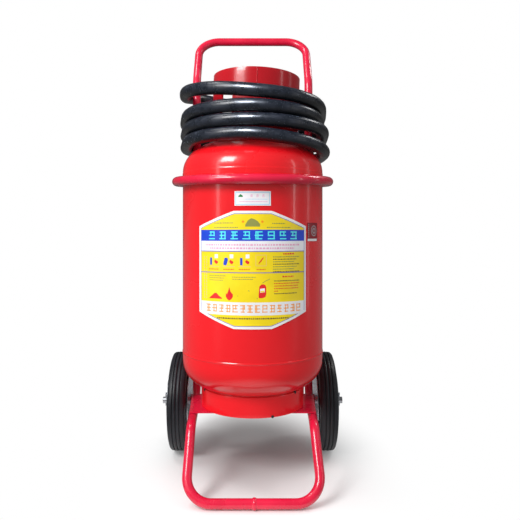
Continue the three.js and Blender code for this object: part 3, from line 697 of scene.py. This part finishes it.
def glyph(colour, layer, x, z, wide, tall, seed):
    """A plain block of bars that stands for one large sign."""
    dice = random.Random(seed)
    pen = wide * 0.14
    for share in (0.08, 0.5, 0.92):
        trim = dice.uniform(0.0, 0.22) * wide
        level = z - tall / 2 + tall * share
        bar(colour, layer, x - wide / 2 + trim, x + wide / 2 - trim / 2, level - pen / 2,
            level + pen / 2)
    for share in dice.sample((0.15, 0.38, 0.62, 0.85), 2):
        post = x - wide / 2 + wide * share
        low = z - tall / 2 + dice.choice((0.0, 0.0, 0.4)) * tall
        bar(colour, layer, post - pen / 2, post + pen / 2, low, z + tall / 2)


def row_of_glyphs(colour, layer, x0, x1, count, z, wide, tall, seed):
    for i in range(count):
        glyph(colour, layer, x0 + (x1 - x0) * (i + 0.5) / count, z, wide, tall, seed + i)


INNER = LABEL_HALF - 6.5
octagon("line", 1, 5.2)
octagon("yellow", 2, 6.4)
bar("blue", 3, -INNER, INNER, BLUE_LOW, BLUE_HIGH)
row_of_glyphs("cyan", 4, -101, 101, 8, (BLUE_LOW + BLUE_HIGH) / 2, 17, 16.5, 11)
bar("white", 3, -INNER, INNER, PRINT_LOW, BLUE_LOW)
text_line("pink", 4, -104, 104, 515.0, 3.4, 31)
text_line("pink", 4, -92, 90, 508.0, 3.4, 32)
bar("line", 4, -INNER, INNER, RULE_LOW, PRINT_LOW)
bar("line", 4, -INNER, INNER, MIDDLE_RULE_LOW, MIDDLE_RULE_HIGH)
bar("white", 3, -INNER, INNER, FOOT_BAND_LOW, FOOT_BAND_HIGH)
row_of_glyphs("orange", 4, -104, 108, 14, (FOOT_BAND_LOW + FOOT_BAND_HIGH) / 2 + 0.2, 12, 15.5,
              51)
text_line("dark", 4, -75, 76, 365.5, 2.6, 71)
# top field: a plain mound between two dots, and small print
blob("olive", 3, 0, 552, [(-15, 0, 4), (-10, 0, 12), (-3, 0, 17), (4, 0, 15), (10, 0, 11),
                          (15, 0, 5)])
for x in (-19.5, 19.5):
    blob("orange", 3, x, 562, [(-2.6, -1, 1), (0, -2.8, 2.8), (2.6, -1, 1)])
for i, (x0, x1, z) in enumerate([(-82, -40, 559.5), (-82, -30, 550.5), (40, 68, 558.5),
                                 (29, 80, 550.5)]):
    text_line("olive", 3, x0, x1, z, 2.0, 90 + i)
# first yellow field: four small pictures and a column of print
for i, x in enumerate((-84, -50, -17)):
    bar("pale", 3, x - 12, x + 13, 470.2, 471.2)
    bar("white", 3, x + 3, x + 10.5, 487.6, 495.6)
    if i == 1:
        blob("blue", 3, x - 6, 481, [(-5, -7, -3), (-2, -8, 7.5), (2, -7.5, 8), (5, 3, 6)])
    else:
        bar("blue", 3, x - 8.5, x - 3.5, 473.5, 488.5)
    blob("red", 3, x + 6, 480, [(-4, 0, 1.5), (-1.5, -3, 4.5), (1.5, -4.5, 2.5), (4.5, -2, 1)])
    text_line("red", 3, x - 11, x + 12, 465.0, 1.8, 110 + i)
for x0, x1, z0, z1 in ((6, 28, 472, 472.8), (6, 28, 494, 494.8), (6, 6.8, 472, 494.8),
                       (27.2, 28, 472, 494.8)):
    bar("pale", 3, x0, x1, z0, z1)
blob("red", 3, 17, 483, [(-5, -7.5, -4.5), (0, -2, 2), (5, 5, 7.5)])
text_line("red", 3, 8, 26, 465.0, 1.8, 120)
text_line("red", 3, 64, 90, 496.5, 3.0, 121)
for i in range(7):
    shade = "dark" if i in (1, 3, 6) else "olive"
    text_line(shade, 3, 42, 103 - 7 * (i % 3), 490.5 - 5.0 * i, 2.0, 130 + i)
# second yellow field: a mound, a flame, a trail and a small trolley
for i in range(3):
    text_line("olive", 3, -94, -56 - 3 * i, 451.5 - 4.5 * i, 1.7, 140 + i)
for i in range(2):
    text_line("olive", 3, -42, 6 - 6 * i, 449.5 - 4.2 * i, 1.7, 145 + i)
blob("red", 3, -79, 404.5, [(-15, 0, 1.5), (-9, 0, 6), (-3, 0, 11), (2, 0, 12), (7, 0, 7),
                            (15, 0, 1.5)])
blob("red", 3, -48, 403, [(-7.5, 6, 14), (-5, 2, 11), (-2.5, 0, 18), (0, -1, 26), (2.5, 0, 17),
                          (5, 2, 14), (7.5, 6, 12)])
for x0, z0, x1, z1 in ((-31, 411, -8, 422.5), (-8, 422.5, 10, 405.5)):
    add_strip("olive", 3, [(x0, z0 - 0.6, z0 + 0.6), (x1, z1 - 0.6, z1 + 0.6)])
blob("red", 3, 20, 421, [(-8, -12, -7), (-6.5, -14, 10), (-2, -14, 14), (3, -13, 14), (6, -11, 12),
                         (7.5, -5, 8)])
blob("white", 4, 20, 421, [(-5, -3, 5), (4.5, -2, 6)])
blob("yellow", 5, 20, 421, [(-4, -2.4, 0.5), (3.5, -1.6, 1.2)])
blob("olive", 3, 26, 438, [(-6, -1, 0.4), (0, 3, 4.4), (9, 7, 8.2)])
text_line("red", 3, 62, 88, 450.0, 2.8, 150)
for i in range(6):
    shade = "dark" if i in (0, 5) else "red"
    text_line(shade, 3, 44, (103, 103, 99, 101, 52, 96)[i], 441.5 - 5.2 * i, 1.9, 160 + i)
for x in (-108, -102):
    for i in range(16):
        bar("pink", 3, x, x + 0.9, 404 + 5.6 * i, 407 + 5.6 * i)
# small label above
bar("white", 0, -37, 37, APPROVAL_LOW, APPROVAL_HIGH)
bar("sky", 1, -35, 35, APPROVAL_LOW + 1.9, APPROVAL_HIGH - 1.9)
bar("white", 2, -33.6, 33.6, APPROVAL_LOW + 3.3, APPROVAL_HIGH - 3.3)
blob("green", 3, -24.5, 612, [(-4.5, 0, 2), (0, 0, 6), (4.5, 0, 2.5)])
row_of_glyphs("pink", 3, -8, 28, 3, 614.5, 5.0, 5.0, 170)
text_line("sky", 3, -14, 30, 607.5, 1.4, 175)
text_line("pink", 3, -28, 30, 602.5, 1.4, 176)
# sticker at the right
bar("maroon", 0, -19.5, 20, STICKER_LOW, STICKER_HIGH, STICKER_MIDDLE)
bar("white", 1, -19.5, 17, STICKER_LOW, STICKER_LOW + 5, STICKER_MIDDLE)
ROUNDS = [(11.5, "grey", 1), (9.4, "maroon", 2), (6.4, "grey", 3), (3.2, "maroon", 4)]
for width, colour, layer in ROUNDS:
    columns = []
    for i in range(17):
        dx = width * (i / 8 - 1)
        tall = math.sqrt(max(0.0, width * width - dx * dx)) + 0.01
        columns.append((STICKER_MIDDLE + 4 + dx, 544 - tall, 544 + tall))
    add_strip(colour, layer, columns)
for i in range(7):
    bar("grey", 1, -17, -15, 530 + 4.2 * i, 532.4 + 4.2 * i, STICKER_MIDDLE)


def wrap(arc, z, radius):
    return at(*around(radius, math.degrees(arc / VESSEL_R)), z)


def film(name, strips, base, thick, material, stands_for=()):
    """Strips as one thin skin, with a front, a back and edges."""
    points = []
    faces = []
    for spans in strips:
        first = len(points)
        for arc, low, high in spans:
            for radius in (base, base + thick):
                points.append(wrap(arc, low, radius))
                points.append(wrap(arc, high, radius))
        for i in range(len(spans) - 1):
            a = first + 4 * i
            b = a + 4
            faces += [(a, b, b + 1, a + 1), (a + 2, a + 3, b + 3, b + 2),
                      (a, a + 2, b + 2, b), (a + 1, b + 1, b + 3, a + 3)]
        last = first + 4 * (len(spans) - 1)
        faces.append((first, first + 1, first + 3, first + 2))
        faces.append((last, last + 2, last + 3, last + 1))
    return build(name, points, faces, material, "trolley", stands_for, 40)


BACKING = 0.3
LAYER = 0.09
octagon("plate", 0, 0.0)
film("main_label_skin", MARKS.pop(("plate", 0)), LABEL_R, BACKING, WHITE_FILM, ("main_label",))
film("approval_label_skin", MARKS.pop(("white", 0)), LABEL_R, BACKING, WHITE_FILM,
     ("approval_label",))
film("sticker_skin", MARKS.pop(("maroon", 0)), LABEL_R, BACKING, INKS["maroon"],
     ("inspection_sticker",))
for (colour, layer), strips in MARKS.items():
    film(f"print_{colour}_{layer}", strips, LABEL_R + BACKING + LAYER * (layer - 1), LAYER,
         INKS[colour])

# ---- gauge face ----
for name, colour, a0, a1 in (("low", "red", 60, 100), ("good", "green", -30, 30),
                             ("high", "yellow", -100, -40)):
    points = []
    faces = []
    for i in range(13):
        a = math.radians(90 + a0 + (a1 - a0) * i / 12)
        for r in (9.5, 15.5):
            for z in (DIAL_TOP + 0.02, DIAL_TOP + 0.14):
                points.append(at(GAUGE_X + r * math.cos(a), r * math.sin(a), z))
    for i in range(12):
        a, b = 4 * i, 4 * i + 4
        faces += [(a, b, b + 2, a + 2), (a + 1, a + 3, b + 3, b + 1), (a, a + 1, b + 1, b),
                  (a + 2, b + 2, b + 3, a + 3)]
    faces += [(0, 2, 3, 1), (48, 49, 51, 50)]
    build(f"dial_zone_{name}", points, faces, INKS[colour], "trolley")

# ---- CAD nodes that stay, with their own finish and softened edges ----
FINISH = {
    "neck_ring": PAINT,
    "neck_gasket": RUBBER,
    "powder_charge": WHITE_FILM,
    "siphon_tube": STEEL,
    "gauge_dial": WHITE_FILM,
    "gauge_needle": BLACK_PLASTIC,
    "gauge_lens": LENS,
    "gauge_case": ZINC,
    "gun_body": BLACK_PLASTIC,
    "gun_nozzle": BLACK_PLASTIC,
}
for name in ("valve_body", "bonnet", "union_nut", "spring_seat"):
    FINISH[name] = BRASS
for name in ("valve_stem", "stem_spring", "valve_lever", "lever_pin", "safety_pin", "gun_clip",
             "gun_trigger", "trigger_pin", "valve_ferrule", "gun_ferrule"):
    FINISH[name] = STEEL
for name in ("axle", "hub_left", "hub_right", "washer_left", "washer_right", "split_pin_left",
             "split_pin_right"):
    FINISH[name] = ZINC
for name in ("axle_housing", "rail_sleeve_left", "rail_sleeve_right", "base_plate_left",
             "base_plate_right", "hose_rest_left", "hose_rest_right", "axle_bracket_left",
             "axle_bracket_right"):
    FINISH[name] = FRAME_PAINT
for name, material in FINISH.items():
    piece = nodes[name]
    piece.data.materials.clear()
    piece.data.materials.append(material)
    piece.data.shade_smooth()
    piece.data.set_sharp_from_angle(angle=math.radians(38))
    soften = piece.modifiers.new("edges", "BEVEL")
    soften.width = 0.35 * MM
    soften.segments = 2
    soften.limit_method = "ANGLE"
    soften.angle_limit = math.radians(38)

# ---- studio ----
WHITE = (1.0, 1.0, 1.0, 1.0)
FLOOR_NEAR = 0.22                # metres from the object where the floor starts to wash out
FLOOR_FAR = 0.62
FLOOR_SIDE = 1.7                 # the washed floor comes closer at the sides by this factor
GLOW_UNSEEN = 0.2                # the washed floor's share in what the object reflects
# painted shadow: the floor's colour is grey in a pool under the object
SHADOW_POOL_Y = 0.17                    # the grey pool of shadow lies behind the wheels' axle
SHADOW_POOL_NEAR = 0.06
SHADOW_POOL_FAR = 0.46
SHADOW_POOL_DARK = 0.36
SHADOW_POOL_LIGHT = 0.90
# The camera sees a white surround, the object is lit by a dimmer one, and its gloss by a dim one.
SURROUND = 0.62
SURROUND_GLOSS = 0.10
AIM = (0, 0, 0.6)
LIGHTS = [
    # name, place, size, watts, whether gloss shows it
    ("key_left", (-1.7, -1.9, 1.3), (1.4, 1.6), 22, False),
    ("ceiling_left", (-1.15, -0.1, 2.95), (0.6, 0.5), 12, True),
    ("ceiling_right", (1.75, 1.0, 2.3), (0.4, 0.6), 10, True),
    ("window_left", (-1.31, -1.49, 1.90), (0.8, 0.8), 38, True),
    ("strip_left", (-1.75, -1.25, 0.9), (0.22, 1.9), 3.5, True),
    ("strip_right", (2.0, -0.85, 0.9), (0.16, 1.9), 2.5, True),
    ("edge_right", (2.1, 0.25, 0.9), (0.2, 1.9), 1.0, True),
]


def grade(tree, value, low, high, first=0.0, second=1.0):
    """A soft step from one value to another as the input runs from low to high."""
    step = tree.nodes.new("ShaderNodeMapRange")
    step.interpolation_type = "SMOOTHSTEP"
    step.inputs["From Min"].default_value = low
    step.inputs["From Max"].default_value = high
    step.inputs["To Min"].default_value = first
    step.inputs["To Max"].default_value = second
    tree.links.new(value, step.inputs["Value"])
    return step.outputs["Result"]


def mixed(tree, share, first, second):
    """A mix of two shaders, where a share of one gives the second."""
    mixer = tree.nodes.new("ShaderNodeMixShader")
    tree.links.new(share, mixer.inputs["Fac"])
    tree.links.new(first, mixer.inputs[1])
    tree.links.new(second, mixer.inputs[2])
    return mixer.outputs["Shader"]


def floor_material():
    """A floor with a grey shadow pool painted into its colour under the object, which washes out
    to white.
    """
    material = surface("floor_white", (0.90, 0.90, 0.90), (0.88, 0.88, 0.88), (0.7, 0.8),
                       bump=0.0)
    tree = material.node_tree
    shader = tree.nodes["Principled BSDF"]
    place = tree.nodes.new("ShaderNodeTexCoord")
    narrow = tree.nodes.new("ShaderNodeVectorMath")
    narrow.operation = "MULTIPLY"
    narrow.inputs[1].default_value = (FLOOR_SIDE, 1.0, 1.0)
    tree.links.new(place.outputs["Object"], narrow.inputs[0])
    length = tree.nodes.new("ShaderNodeVectorMath")
    length.operation = "LENGTH"
    tree.links.new(narrow.outputs["Vector"], length.inputs[0])
    wash = grade(tree, length.outputs["Value"], FLOOR_NEAR, FLOOR_FAR)
    from_shadow_pool = tree.nodes.new("ShaderNodeVectorMath")
    from_shadow_pool.operation = "DISTANCE"
    from_shadow_pool.inputs[1].default_value = (0.0, SHADOW_POOL_Y, 0.0)
    tree.links.new(narrow.outputs["Vector"], from_shadow_pool.inputs[0])
    # painted shadow: the floor's base colour darkens towards the pool's centre
    painted_shadow = grade(tree, from_shadow_pool.outputs["Value"], SHADOW_POOL_NEAR, SHADOW_POOL_FAR, SHADOW_POOL_DARK, SHADOW_POOL_LIGHT)
    tree.links.new(painted_shadow, shader.inputs["Base Color"])
    eye = tree.nodes.new("ShaderNodeLightPath")
    glow = tree.nodes.new("ShaderNodeEmission")
    glow.inputs["Color"].default_value = WHITE
    strength = grade(tree, eye.outputs["Is Camera Ray"], 0.0, 1.0, GLOW_UNSEEN, 1.0)
    tree.links.new(strength, glow.inputs["Strength"])
    washed = mixed(tree, wash, shader.outputs["BSDF"], glow.outputs["Emission"])
    tree.links.new(washed, tree.nodes["Material Output"].inputs["Surface"])
    return material


def background(tree, strength):
    light = tree.nodes.new("ShaderNodeBackground")
    light.inputs["Color"].default_value = WHITE
    light.inputs["Strength"].default_value = strength
    return light.outputs["Background"]


def lamp(name, place, size, watts, aim):
    data = bpy.data.lights.new(name, "AREA")
    data.shape = "RECTANGLE"
    data.size, data.size_y = size
    data.energy = watts
    piece = bpy.data.objects.new(name, data)
    piece.location = place
    piece.rotation_euler = (Vector(aim) - Vector(place)).to_track_quat("-Z", "Y").to_euler()
    bpy.context.scene.collection.objects.link(piece)
    return piece


floor_mesh = bpy.data.meshes.new("floor")
floor_mesh.from_pydata([(-9, -6, 0), (9, -6, 0), (9, 12, 0), (-9, 12, 0)], [], [(0, 1, 2, 3)])
floor_mesh.materials.append(floor_material())
floor = bpy.data.objects.new("floor", floor_mesh)
bpy.context.scene.collection.objects.link(floor)

world = bpy.data.worlds.new("studio")
world.use_nodes = True
sky = world.node_tree
rays = sky.nodes.new("ShaderNodeLightPath")
plain = mixed(sky, rays.outputs["Is Camera Ray"], background(sky, SURROUND), background(sky, 1.0))
glossy = mixed(sky, rays.outputs["Is Glossy Ray"], plain, background(sky, SURROUND_GLOSS))
sky.links.new(glossy, sky.nodes["World Output"].inputs["Surface"])
bpy.context.scene.world = world
bpy.context.scene.view_settings.view_transform = "Standard"

for name, place, size, watts, in_gloss in LIGHTS:
    lamp(name, place, size, watts, AIM).visible_glossy = in_gloss

# One small cool lamp lights the hose alone.
hose_only = bpy.data.collections.new("hose_only")
hose_only.objects.link(hose)
glint = lamp("hose_glint", (-0.42, -2.1, 2.3), (0.35, 0.5), 240, (0, 0, 0.8))
glint.data.color = (0.78, 0.86, 1.0)
glint.light_linking.receiver_collection = hose_only
